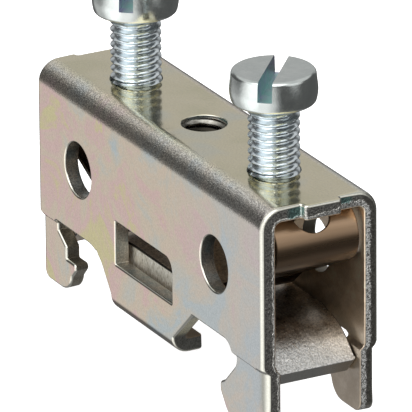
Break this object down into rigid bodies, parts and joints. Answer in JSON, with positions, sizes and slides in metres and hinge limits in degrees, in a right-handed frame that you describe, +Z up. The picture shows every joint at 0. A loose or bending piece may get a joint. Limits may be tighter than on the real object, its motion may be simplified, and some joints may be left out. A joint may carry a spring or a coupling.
{
  "type": "earth terminal block",
  "caption": "All-metal earth terminal block: a folded steel channel that hooks on a mounting rail, with slotted clamping screws, a sliding pressure plate and rolled leaf strips.",
  "frame": {"origin": "on the vertical centre line, level with the closed hooks' seats, which the underside of the rail's edges bears on", "axes": "+X along the body towards the carrier tab, +Y along the rail, +Z up towards the screw heads"},
  "size_m": [0.0468, 0.0126, 0.0337],
  "materials": {
    "body_zinc": "zinc-plated steel with a pale yellow, faintly iridescent film",
    "saddle_zinc": "zinc-plated steel, scuffed",
    "leaf_bronze": "satin bronze strip",
    "screw_zinc": "bright zinc plating"
  },
  "bodies": {
    "body": {"clamp_body": "body_zinc", "leaf_left": "leaf_bronze", "leaf_right": "leaf_bronze"},
    "saddle": {"saddle": "saddle_zinc"},
    "screw_left": {"screw_left": "screw_zinc"},
    "screw_right": {"screw_right": "screw_zinc"}
  },
  "joints": [
    {"name": "saddle_slide", "type": "slide", "parent": "body", "child": "saddle", "axis": [0, 0, -1], "range_m": [0, 0.0029]},
    {"name": "screw_left_drive", "type": "slide", "parent": "body", "child": "screw_left", "axis": [0, 0, -1], "range_m": [-0.002, 0.004]},
    {"name": "screw_right_drive", "type": "slide", "parent": "body", "child": "screw_right", "axis": [0, 0, -1], "range_m": [-0.002, 0.004]}
  ]
}
